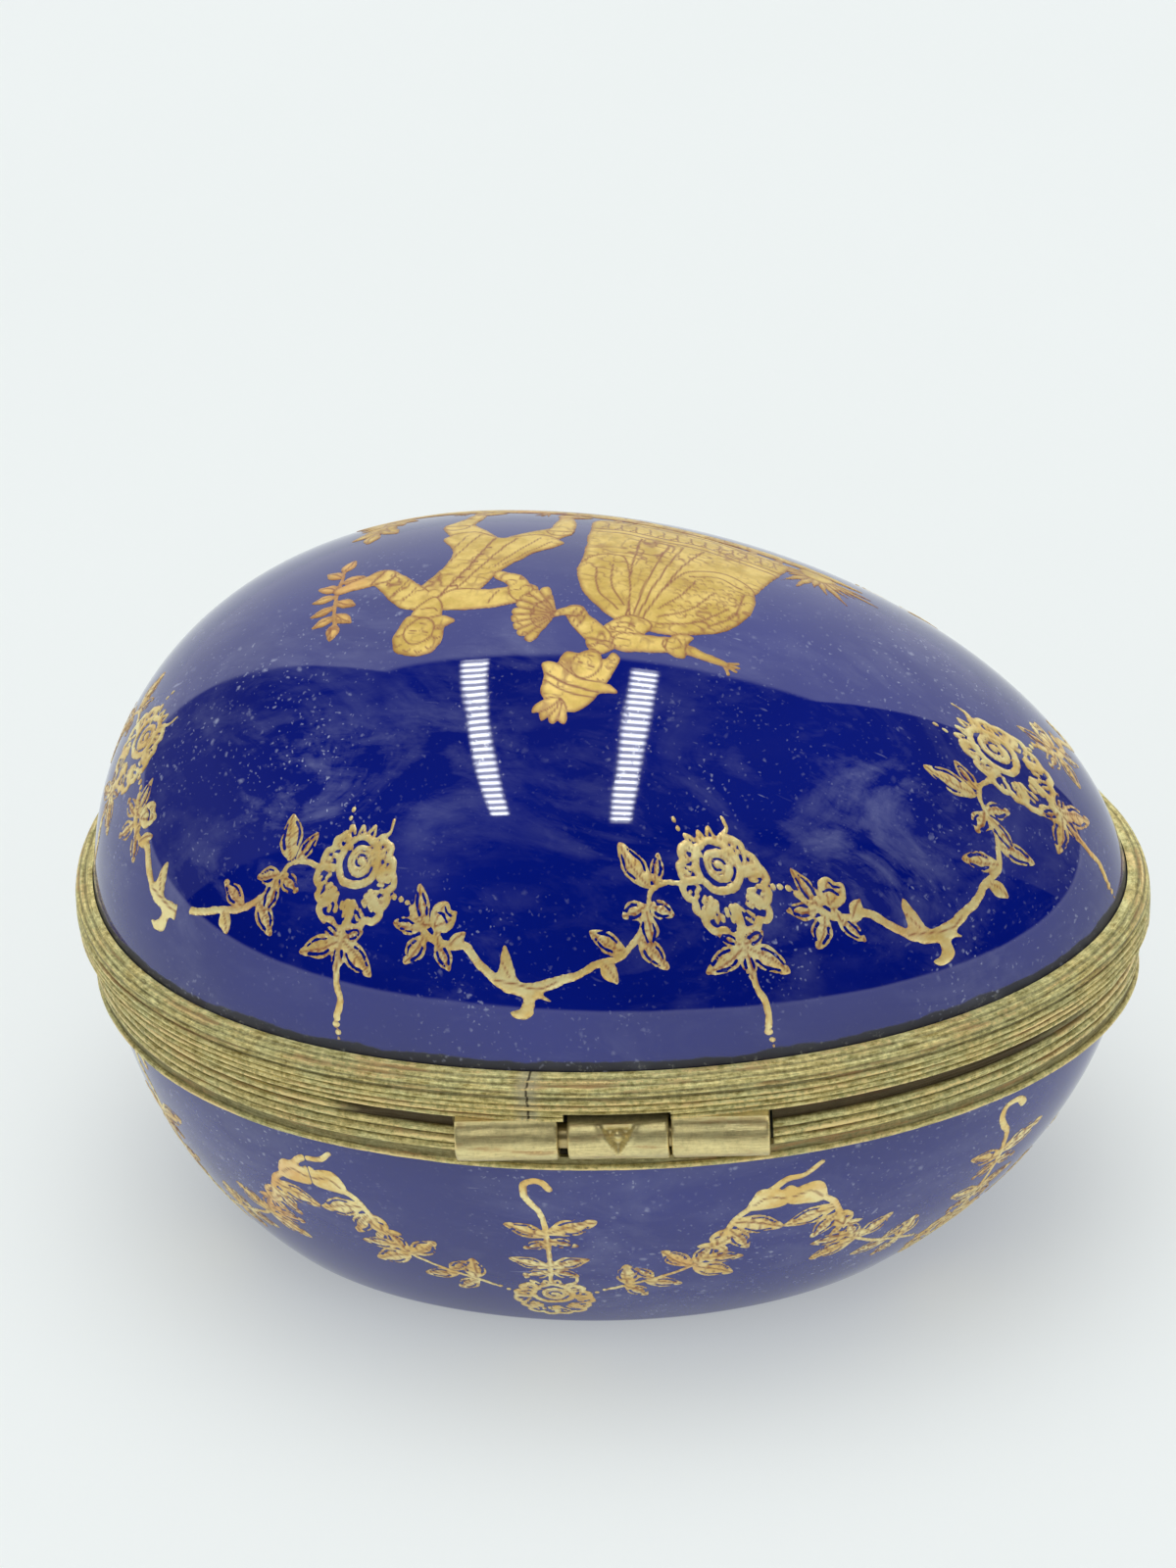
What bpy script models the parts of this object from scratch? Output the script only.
"""Egg-shaped porcelain trinket box: two glazed shells in brass mounts, hinged along one long side.

Metres, +Z up. The foot stands on z = 0. +X runs towards the pointed end, the hinge is on the -Y side
and the clasp on the +Y side. x = 0, y = 0 is the middle of the whole box, hinge and clasp included.
"""

import math
from collections import namedtuple

import bmesh
import bpy
import numpy as np
from mathutils import Matrix, Vector

MM = 0.001

# The egg: its outline at the seam, and how the two porcelain shells curve away from it.
LENGTH = 82.0 * MM
BLUNT_LENGTH = 35.6 * MM
WIDTH = 60.7 * MM
POINTED_POWER = 1.91
BLUNT_POWER = 2.23
SEAM_HEIGHT = 28.0 * MM
LID_STEEPNESS = 0.915
LID_POWER = 2.0
BASE_STEEPNESS = 1.3
BASE_POWER = 2.1

# Porcelain walls, measured from the seam plane.
LID_WALL = 2.6 * MM
LID_RIM = 1.3 * MM
BASE_WALL = 3.2 * MM
BASE_RIM = 3.9 * MM
FLOOR_HEIGHT = 3.2 * MM
FLOOR_CORNER = 6.0 * MM
FOOT_CORNER = 3.5 * MM
FOOT_RING_WIDTH = 3.0 * MM
FOOT_RECESS = 0.8 * MM
FOOT_RECESS_SLOPE = 0.6 * MM

# Brass mounts. Offsets are measured outwards from the egg's outline at the seam.
SEAM_GAP = 0.1 * MM
FIT_GAP = 0.12 * MM
FLANGE = 0.65 * MM
LID_MOUNT_HEIGHT = 3.5 * MM
LID_MOUNT_OUT = 1.43 * MM
LID_MOUNT_INNER = 0.7 * MM
LID_MOUNT_ROLL = 0.72 * MM
LID_MOUNT_FACE_TOP = 2.4 * MM
LID_FLANGE_IN = 2.8 * MM
BASE_MOUNT_HEIGHT = 5.0 * MM
BASE_MOUNT_OUT = 0.72 * MM
BASE_MOUNT_INNER = 0.15 * MM
BASE_FLANGE_IN = 3.05 * MM
MOUNT_EDGE = 0.13 * MM
LIP_OUTER = 3.15 * MM
LIP_THICKNESS = 0.55 * MM
LIP_RISE = 0.9 * MM

# Hinge: a barrel that touches the outline at HINGE_X, split into three knuckles on one pin.
HINGE_X = 12.9 * MM
HINGE_OUT = 0.33 * MM
HINGE_DROP = 1.79 * MM
BARREL_RADIUS = 1.75 * MM
BORE_RADIUS = 1.05 * MM
PIN_RADIUS = 0.95 * MM
PIN_HALF_LENGTH = 11.2 * MM
NOTCH_GAP = 0.3 * MM
NOTCH_END_GAP = 0.2 * MM
LID_KNUCKLE_LEFT = (-11.33 * MM, -3.9 * MM)
BASE_KNUCKLE = (-3.2 * MM, 4.1 * MM)
LID_KNUCKLE_RIGHT = (4.3 * MM, 11.33 * MM)
LEAF_HALF = 0.4 * MM
LID_SLOT_HEIGHT = 0.45 * MM
BASE_LEAF_END = -1.95 * MM

# Clasp: a tongue on the lid's mount with an open notch that passes over a stud on the base's mount.
CLASP_X = 2.0 * MM
TONGUE_WIDTH = 8.0 * MM
TONGUE_THICKNESS = 0.9 * MM
TONGUE_TOP = 2.2 * MM
TONGUE_DROP = 4.4 * MM
TONGUE_CORNER = 1.6 * MM
TONGUE_CORNER_STEPS = 4
NOTCH_RADIUS = 1.25 * MM
STUD_RADIUS = 1.0 * MM
STUD_DROP = 2.5 * MM
STUD_OUT = 3.02 * MM
STUD_DOME_ANGLES = (math.radians(30), math.radians(60))

STATIONS = 64
DOME_RINGS = 8
CORNER_RINGS = 3
BISECTIONS = 40
SLOPE_STEP = 0.1 * MM
ROUND_SIDES = 32
SMOOTH_ANGLE = math.radians(35)

POINTED_LENGTH = LENGTH - BLUNT_LENGTH
CENTRE_X = (POINTED_LENGTH - BLUNT_LENGTH) / 2

Egg = namedtuple("Egg", "pointed blunt half_width steepness power")


def half_width_at(egg, x):
    """Half the egg's width at x, where x = 0 is its widest section."""
    reach = np.where(x > 0, egg.pointed, egg.blunt)
    power = np.where(x > 0, POINTED_POWER, BLUNT_POWER)
    left = np.clip(1 - (np.abs(x) / reach) ** power, 0, None)
    return egg.half_width * left ** (1 / power)


def level_curve(egg, level):
    """The egg's horizontal outline at a distance from the seam plane, one point for each station."""
    angles = np.arange(STATIONS) * 2 * math.pi / STATIONS
    along = np.cos(angles)
    across = np.abs(np.sin(angles))
    drop = (level / egg.steepness) ** egg.power
    low = np.zeros(STATIONS)
    high = np.full(STATIONS, egg.pointed)
    for _ in range(BISECTIONS):
        middle = (low + high) / 2
        inside = (middle * across) ** egg.power + drop < half_width_at(egg, middle * along) ** egg.power
        low = np.where(inside, middle, low)
        high = np.where(inside, high, middle)
    return np.column_stack((low * along, low * np.sin(angles)))


def pushed_out(curve, offset):
    """A closed counter-clockwise curve moved outwards along its own normals."""
    tangent = np.roll(curve, -1, axis=0) - np.roll(curve, 1, axis=0)
    tangent /= np.linalg.norm(tangent, axis=1, keepdims=True)
    normal = np.column_stack((tangent[:, 1], -tangent[:, 0]))
    return curve + offset * normal


def ring_at(curve, height):
    """A curve in the egg's plan, as points in the box's frame at one height."""
    return [Vector((x - CENTRE_X, y, height)) for x, y in curve]


def pole_at(height):
    return [Vector((-CENTRE_X, 0, height))]


def outer_egg(steepness, power):
    return Egg(POINTED_LENGTH, BLUNT_LENGTH, WIDTH / 2, steepness, power)


def inner_egg(egg, wall):
    """The egg that lies one wall's thickness inside another."""
    half = egg.half_width - wall
    steepness = (egg.steepness * egg.half_width - wall) / half
    return Egg(egg.pointed - wall, egg.blunt - wall, half, steepness, egg.power)


LID_EGG = outer_egg(LID_STEEPNESS, LID_POWER)
BASE_EGG = outer_egg(BASE_STEEPNESS, BASE_POWER)


def loft_mesh(name, rings, closed):
    """A mesh through a row of rings. A ring of one point is a pole. closed joins the last to the first."""
    bm = bmesh.new()
    loops = [[bm.verts.new(point) for point in ring] for ring in rings]
    pairs = list(zip(loops, loops[1:]))
    if closed:
        pairs.append((loops[-1], loops[0]))
    for first, second in pairs:
        for i in range(STATIONS):
            j = (i + 1) % STATIONS
            corners = [first[i % len(first)], first[j % len(first)]]
            corners += [second[j % len(second)], second[i % len(second)]]
            bm.faces.new(list(dict.fromkeys(corners)))
    return finished_mesh(name, bm)


def finished_mesh(name, bm):
    bmesh.ops.recalc_face_normals(bm, faces=bm.faces)
    mesh = bpy.data.meshes.new(name)
    bm.to_mesh(mesh)
    bm.free()
    mesh.shade_smooth()
    mesh.set_sharp_from_angle(angle=SMOOTH_ANGLE)
    return mesh


def prism_mesh(name, outline, start, end, across, up, along):
    """An outline in the across-up plane, extruded from start to end in the third direction."""
    bm = bmesh.new()
    verts = [bm.verts.new(across * a + up * u + along * start) for a, u in outline]
    face = bm.faces.new(verts)
    made = bmesh.ops.extrude_face_region(bm, geom=[face])
    moved = [item for item in made["geom"] if isinstance(item, bmesh.types.BMVert)]
    bmesh.ops.translate(bm, vec=along * (end - start), verts=moved)
    return finished_mesh(name, bm)


def arc(centre, radius, start, end, steps):
    """Points on an arc from one angle to another, both included, in degrees."""
    angles = [math.radians(start + (end - start) * i / steps) for i in range(steps + 1)]
    return [(centre[0] + radius * math.cos(a), centre[1] + radius * math.sin(a)) for a in angles]


def circle(radius):
    return arc((0, 0), radius, 0, 360, ROUND_SIDES)[:-1]


def add_object(name, mesh, material=None):
    obj = bpy.data.objects.new(name, mesh)
    bpy.context.scene.collection.objects.link(obj)
    if material:
        mesh.materials.append(material)
    return obj


def finish_material(name, colour, roughness, metallic):
    material = bpy.data.materials.new(name)
    material.use_nodes = True
    shader = material.node_tree.nodes["Principled BSDF"]
    shader.inputs["Base Color"].default_value = (*colour, 1)
    shader.inputs["Roughness"].default_value = roughness
    shader.inputs["Metallic"].default_value = metallic
    return material


def cut(obj, name, mesh, matrix=None):
    """Takes the mesh's shape out of obj, with a cutter that isn't part of the box."""
    cutter = add_object(name, mesh)
    cutter.hide_render = True
    cutter.display_type = "WIRE"
    if matrix:
        cutter.matrix_world = matrix
    boolean = obj.modifiers.new(name, "BOOLEAN")
    boolean.operation = "DIFFERENCE"
    boolean.object = cutter


def dome_levels(rim, top):
    """Levels from a shell's rim towards its top, closer together where the shell flattens."""
    start = math.asin(rim / top)
    steps = [start + (math.pi / 2 - start) * i / DOME_RINGS for i in range(DOME_RINGS)]
    return [top * math.sin(step) for step in steps]


def corner_rings(curve, height, radius, lean, steps):
    """Rings that round a wall into a flat floor at height. lean is the wall's angle above the floor."""
    rings = []
    for i in range(1, steps + 1):
        angle = lean * (1 - i / steps)
        inset = radius * (math.sin(lean) - math.sin(angle))
        rings.append(ring_at(pushed_out(curve, -inset), height + radius * (1 - math.cos(angle))))
    return rings


def lid_shell(material):
    """Porcelain lid: an open half egg with its rim down."""
    inner = inner_egg(LID_EGG, LID_WALL)
    rings = [pole_at(SEAM_HEIGHT + LID_EGG.steepness * LID_EGG.half_width)]
    for level in reversed(dome_levels(LID_RIM, LID_EGG.steepness * LID_EGG.half_width)):
        rings.append(ring_at(level_curve(LID_EGG, level), SEAM_HEIGHT + level))
    for level in dome_levels(LID_RIM, inner.steepness * inner.half_width):
        rings.append(ring_at(level_curve(inner, level), SEAM_HEIGHT + level))
    rings.append(pole_at(SEAM_HEIGHT + inner.steepness * inner.half_width))
    return add_object("lid_porcelain", loft_mesh("lid_porcelain", rings, False), material)


def wall_lean(egg, depth):
    """Angle of the shell's wall above the horizontal at its widest section."""
    step = SLOPE_STEP
    widths = [(egg.half_width**egg.power - (d / egg.steepness) ** egg.power) ** (1 / egg.power)
              for d in (depth - step, depth)]
    return math.atan2(step, widths[0] - widths[1])


def bowl_rings(egg, floor, corner):
    """Rings of a bowl-shaped surface from the base's rim down to where its flat floor begins."""
    lean = wall_lean(egg, SEAM_HEIGHT - floor)
    corner_top = floor + corner * (1 - math.cos(lean))
    depth = SEAM_HEIGHT - corner_top
    rings = []
    for i in range(DOME_RINGS):
        level = BASE_RIM + (depth - BASE_RIM) * math.sin(math.pi / 2 * i / (DOME_RINGS - 1))
        rings.append(ring_at(level_curve(egg, level), SEAM_HEIGHT - level))
    rings += corner_rings(level_curve(egg, depth), floor, corner, lean, CORNER_RINGS)
    return rings


def in_from(ring, inset, height):
    """A ring moved inwards and to another height."""
    curve = np.array([(point.x + CENTRE_X, point.y) for point in ring])
    return ring_at(pushed_out(curve, -inset), height)


def base_shell(material):
    """Porcelain bowl with a rounded foot, a shallow recess under it and a flat floor inside."""
    outside = bowl_rings(BASE_EGG, 0, FOOT_CORNER)
    recess_edge = in_from(outside[-1], FOOT_RING_WIDTH, 0)
    recess = in_from(outside[-1], FOOT_RING_WIDTH + FOOT_RECESS_SLOPE, FOOT_RECESS)
    inside = bowl_rings(inner_egg(BASE_EGG, BASE_WALL), FLOOR_HEIGHT, FLOOR_CORNER)
    rings = [pole_at(FOOT_RECESS), recess, recess_edge]
    rings += outside[::-1]
    rings += inside
    rings.append(pole_at(FLOOR_HEIGHT))
    return add_object("base_porcelain", loft_mesh("base_porcelain", rings, False), material)


def band_mesh(name, egg, side, profile):
    """A closed band around the egg. Each profile point is an offset from the outline and a distance from
    the seam; hugging points are offset from the porcelain at that distance. side is 1 above the seam."""
    rings = []
    for offset, level, hugging in profile:
        curve = level_curve(egg, level if hugging else 0)
        rings.append(ring_at(pushed_out(curve, offset), SEAM_HEIGHT + side * level))
    return loft_mesh(name, rings, True)


def lid_mount(material):
    """Brass channel on the lid's rim: a flange under it and an outer skirt rolled in at the top."""
    top = LID_MOUNT_HEIGHT
    profile = [
        (-LID_FLANGE_IN, SEAM_GAP, False),
        (LID_MOUNT_OUT - MOUNT_EDGE, SEAM_GAP, False),
        (LID_MOUNT_OUT, SEAM_GAP + MOUNT_EDGE, False),
    ]
    middle = (LID_MOUNT_OUT - LID_MOUNT_ROLL, top - LID_MOUNT_ROLL)
    rolled = arc(middle, LID_MOUNT_ROLL, 0, 90, CORNER_RINGS)
    profile += [(out, level, False) for out, level in rolled]
    profile += [
        (FIT_GAP, top, True),
        (FIT_GAP, top - LID_MOUNT_ROLL, True),
        (LID_MOUNT_INNER, LID_MOUNT_FACE_TOP, False),
        (LID_MOUNT_INNER, SEAM_GAP + FLANGE, False),
        (-LID_FLANGE_IN, SEAM_GAP + FLANGE, False),
    ]
    mount = add_object("lid_mount", band_mesh("lid_mount", LID_EGG, 1, profile), material)
    slot_top = LID_SLOT_HEIGHT + HINGE_DROP
    slot = box_outline(-BARREL_RADIUS - HINGE_OUT, BARREL_RADIUS, -LID_SLOT_HEIGHT, slot_top)
    start, end = BASE_KNUCKLE
    cut(mount, "slot_cutter", hinge_prism("slot_cutter", slot, start - NOTCH_END_GAP, end + NOTCH_END_GAP),
        hinge_matrix())
    return mount


def base_mount(material):
    """Brass band on the base's rim: a flange level with the seam and an outer skirt."""
    bottom = BASE_MOUNT_HEIGHT
    profile = [
        (-BASE_FLANGE_IN, SEAM_GAP, False),
        (-BASE_FLANGE_IN, SEAM_GAP + FLANGE, False),
        (BASE_MOUNT_INNER, SEAM_GAP + FLANGE, False),
        (BASE_MOUNT_INNER, BASE_RIM, False),
        (FIT_GAP, bottom - 2 * MOUNT_EDGE, True),
        (FIT_GAP, bottom, True),
        (BASE_MOUNT_OUT - MOUNT_EDGE, bottom, False),
        (BASE_MOUNT_OUT, bottom - MOUNT_EDGE, False),
        (BASE_MOUNT_OUT, SEAM_GAP + MOUNT_EDGE, False),
        (BASE_MOUNT_OUT - MOUNT_EDGE, SEAM_GAP, False),
    ]
    mount = add_object("base_mount", band_mesh("base_mount", BASE_EGG, -1, profile), material)
    cut(mount, "mount_notch_cutter", barrel_notch("mount_notch_cutter"), hinge_matrix())
    return mount


def lid_bedding(material):
    """Cement between the lid's rim and its mount, L-shaped in section."""
    profile = [
        (-LID_WALL, SEAM_GAP + FLANGE + SEAM_GAP, False),
        (LID_MOUNT_INNER - SEAM_GAP, SEAM_GAP + FLANGE + SEAM_GAP, False),
        (LID_MOUNT_INNER - SEAM_GAP, LID_MOUNT_HEIGHT / 2 + MOUNT_EDGE, False),
        (SEAM_GAP, LID_MOUNT_HEIGHT / 2 + MOUNT_EDGE, True),
        (SEAM_GAP, LID_RIM - SEAM_GAP, True),
        (-LID_WALL, LID_RIM - SEAM_GAP, False),
    ]
    return add_object("lid_bedding", band_mesh("lid_bedding", LID_EGG, 1, profile), material)


def base_bedding(material):
    """Cement that fills the base's mount above the porcelain rim, cut away around the hinge barrel."""
    top = SEAM_GAP + FLANGE + SEAM_GAP
    profile = [
        (-BASE_FLANGE_IN + SEAM_GAP, top, False),
        (-BASE_FLANGE_IN + SEAM_GAP, BASE_RIM - SEAM_GAP, False),
        (BASE_MOUNT_INNER - SEAM_GAP, BASE_RIM - SEAM_GAP, False),
        (BASE_MOUNT_INNER - SEAM_GAP, top, False),
    ]
    bedding = add_object("base_bedding", band_mesh("base_bedding", BASE_EGG, -1, profile), material)
    cut(bedding, "bedding_notch_cutter", barrel_notch("bedding_notch_cutter"), hinge_matrix())
    return bedding


def locating_lip(material):
    """Upright brass strip inside the base's mount that the lid's mount drops around."""
    profile = [
        (-LIP_OUTER, -LIP_RISE, False),
        (-LIP_OUTER - LIP_THICKNESS, -LIP_RISE, False),
        (-LIP_OUTER - LIP_THICKNESS, BASE_RIM - SEAM_GAP, False),
        (-LIP_OUTER, BASE_RIM - SEAM_GAP, False),
    ]
    return add_object("base_locating_lip", band_mesh("base_locating_lip", BASE_EGG, -1, profile), material)


def hinge_matrix():
    """Places the hinge's own frame: X along the pin, -Y away from the box, origin in the barrel's middle."""
    step = SLOPE_STEP
    ends = half_width_at(LID_EGG, np.array([HINGE_X - step, HINGE_X, HINGE_X + step]))
    turn = math.atan2(ends[0] - ends[2], 2 * step)
    outwards = Vector((math.sin(turn), -math.cos(turn), 0))
    middle = Vector((HINGE_X - CENTRE_X, -ends[1], SEAM_HEIGHT - HINGE_DROP)) + outwards * HINGE_OUT
    return Matrix.Translation(middle) @ Matrix.Rotation(turn, 4, "Z")


def hinge_prism(name, outline, start, end):
    """Extrudes an outline of (outwards, up) points along the pin."""
    return prism_mesh(name, outline, start, end, Vector((0, -1, 0)), Vector((0, 0, 1)), Vector((1, 0, 0)))


def box_outline(left, right, bottom, top):
    return [(left, bottom), (right, bottom), (right, top), (left, top)]


def barrel_notch(name):
    """The space that the barrel turns in: round below, straight-sided above."""
    radius = BARREL_RADIUS + NOTCH_GAP
    above = HINGE_DROP + LIP_RISE
    outline = arc((0, 0), radius, 180, 360, ROUND_SIDES // 2) + [(radius, above), (-radius, above)]
    start = LID_KNUCKLE_LEFT[0] - NOTCH_END_GAP
    end = LID_KNUCKLE_RIGHT[1] + NOTCH_END_GAP
    return hinge_prism(name, outline, start, end)


def knuckle(name, span, leaf_end, material):
    """A bored knuckle with a straight leaf, which ends at leaf_end above or below the pin."""
    rise = math.degrees(math.acos(LEAF_HALF / BARREL_RADIUS))
    if leaf_end > 0:
        outline = [(-LEAF_HALF, leaf_end)] + arc((0, 0), BARREL_RADIUS, 180 - rise, 360 + rise, ROUND_SIDES)
        outline.append((LEAF_HALF, leaf_end))
    else:
        outline = [(LEAF_HALF, leaf_end)] + arc((0, 0), BARREL_RADIUS, -rise, 180 + rise, ROUND_SIDES)
        outline.append((-LEAF_HALF, leaf_end))
    piece = add_object(name, hinge_prism(name, outline, *span), material)
    piece.matrix_world = hinge_matrix()
    bore_name = name + "_bore_cutter"
    margin = PIN_RADIUS
    bore = hinge_prism(bore_name, circle(BORE_RADIUS), span[0] - margin, span[1] + margin)
    cut(piece, bore_name, bore, hinge_matrix())
    return piece


def hinge_pin(material):
    mesh = hinge_prism("hinge_pin", circle(PIN_RADIUS), -PIN_HALF_LENGTH, PIN_HALF_LENGTH)
    pin = add_object("hinge_pin", mesh, material)
    pin.matrix_world = hinge_matrix()
    return pin


def clasp_matrix():
    """Places the clasp's frame on the seam's outline: X along the mount, +Y away from the box."""
    y = float(half_width_at(LID_EGG, np.array([CLASP_X]))[0])
    return Matrix.Translation(Vector((CLASP_X - CENTRE_X, y, SEAM_HEIGHT)))


def clasp_tongue(material):
    """Round-cornered plate on the lid's mount, with an open notch in its lower edge."""
    half = TONGUE_WIDTH / 2
    corner = TONGUE_CORNER
    steps = TONGUE_CORNER_STEPS
    outline = arc((half - corner, TONGUE_TOP - corner), corner, 0, 90, steps)
    outline += arc((corner - half, TONGUE_TOP - corner), corner, 90, 180, steps)
    outline += arc((corner - half, corner - TONGUE_DROP), corner, 180, 270, steps)
    outline.append((-NOTCH_RADIUS, -TONGUE_DROP))
    outline += arc((0, -STUD_DROP), NOTCH_RADIUS, 180, 0, 2 * steps)
    outline.append((NOTCH_RADIUS, -TONGUE_DROP))
    outline += arc((half - corner, corner - TONGUE_DROP), corner, 270, 360, steps)
    back = LID_MOUNT_OUT + FIT_GAP
    mesh = prism_mesh("clasp_tongue", outline, back, back + TONGUE_THICKNESS,
                      Vector((1, 0, 0)), Vector((0, 0, 1)), Vector((0, 1, 0)))
    tongue = add_object("clasp_tongue", mesh, material)
    tongue.matrix_world = clasp_matrix()
    return tongue


def clasp_stud(material):
    """Short round post with a domed head, standing on the base's mount."""
    bm = bmesh.new()
    foot = BASE_MOUNT_OUT + FIT_GAP
    shoulder = STUD_OUT - STUD_RADIUS / 2
    sections = [(foot, STUD_RADIUS), (shoulder, STUD_RADIUS)]
    sections += [(shoulder + STUD_RADIUS / 2 * math.sin(a), STUD_RADIUS * math.cos(a))
                 for a in STUD_DOME_ANGLES]
    loops = []
    for out, radius in sections:
        loops.append([bm.verts.new((x, out, z - STUD_DROP)) for x, z in circle(radius)])
    for first, second in zip(loops, loops[1:]):
        for i in range(ROUND_SIDES):
            j = (i + 1) % ROUND_SIDES
            bm.faces.new((first[i], first[j], second[j], second[i]))
    bm.faces.new(loops[0])
    tip = bm.verts.new((0, STUD_OUT, -STUD_DROP))
    for i in range(ROUND_SIDES):
        bm.faces.new((loops[-1][i], loops[-1][(i + 1) % ROUND_SIDES], tip))
    stud = add_object("clasp_stud", finished_mesh("clasp_stud", bm), material)
    stud.matrix_world = clasp_matrix()
    return stud


def hang_on_hinge(pieces):
    """Parents the lid's pieces to an empty on the hinge's axis, without moving them."""
    axis = add_object("lid_hinge_axis", None)
    axis.matrix_world = hinge_matrix()
    bpy.context.view_layer.update()
    for piece in pieces:
        place = piece.matrix_world.copy()
        piece.parent = axis
        piece.matrix_world = place


def build_box():
    glaze = finish_material("cobalt_glaze", (0.012, 0.014, 0.16), 0.06, 0.0)
    brass = finish_material("aged_brass", (0.42, 0.36, 0.16), 0.45, 1.0)
    cement = finish_material("cement", (0.62, 0.58, 0.5), 0.9, 0.0)
    base_shell(glaze)
    base_mount(brass)
    base_bedding(cement)
    locating_lip(brass)
    knuckle("base_hinge_knuckle", BASE_KNUCKLE, BASE_LEAF_END, brass)
    hinge_pin(brass)
    clasp_stud(brass)
    leaf_top = HINGE_DROP
    hang_on_hinge([
        lid_shell(glaze),
        lid_mount(brass),
        lid_bedding(cement),
        knuckle("lid_hinge_knuckle_left", LID_KNUCKLE_LEFT, leaf_top, brass),
        knuckle("lid_hinge_knuckle_right", LID_KNUCKLE_RIGHT, leaf_top, brass),
        clasp_tongue(brass),
    ])


for leftover in list(bpy.data.objects):
    bpy.data.objects.remove(leftover)
build_box()
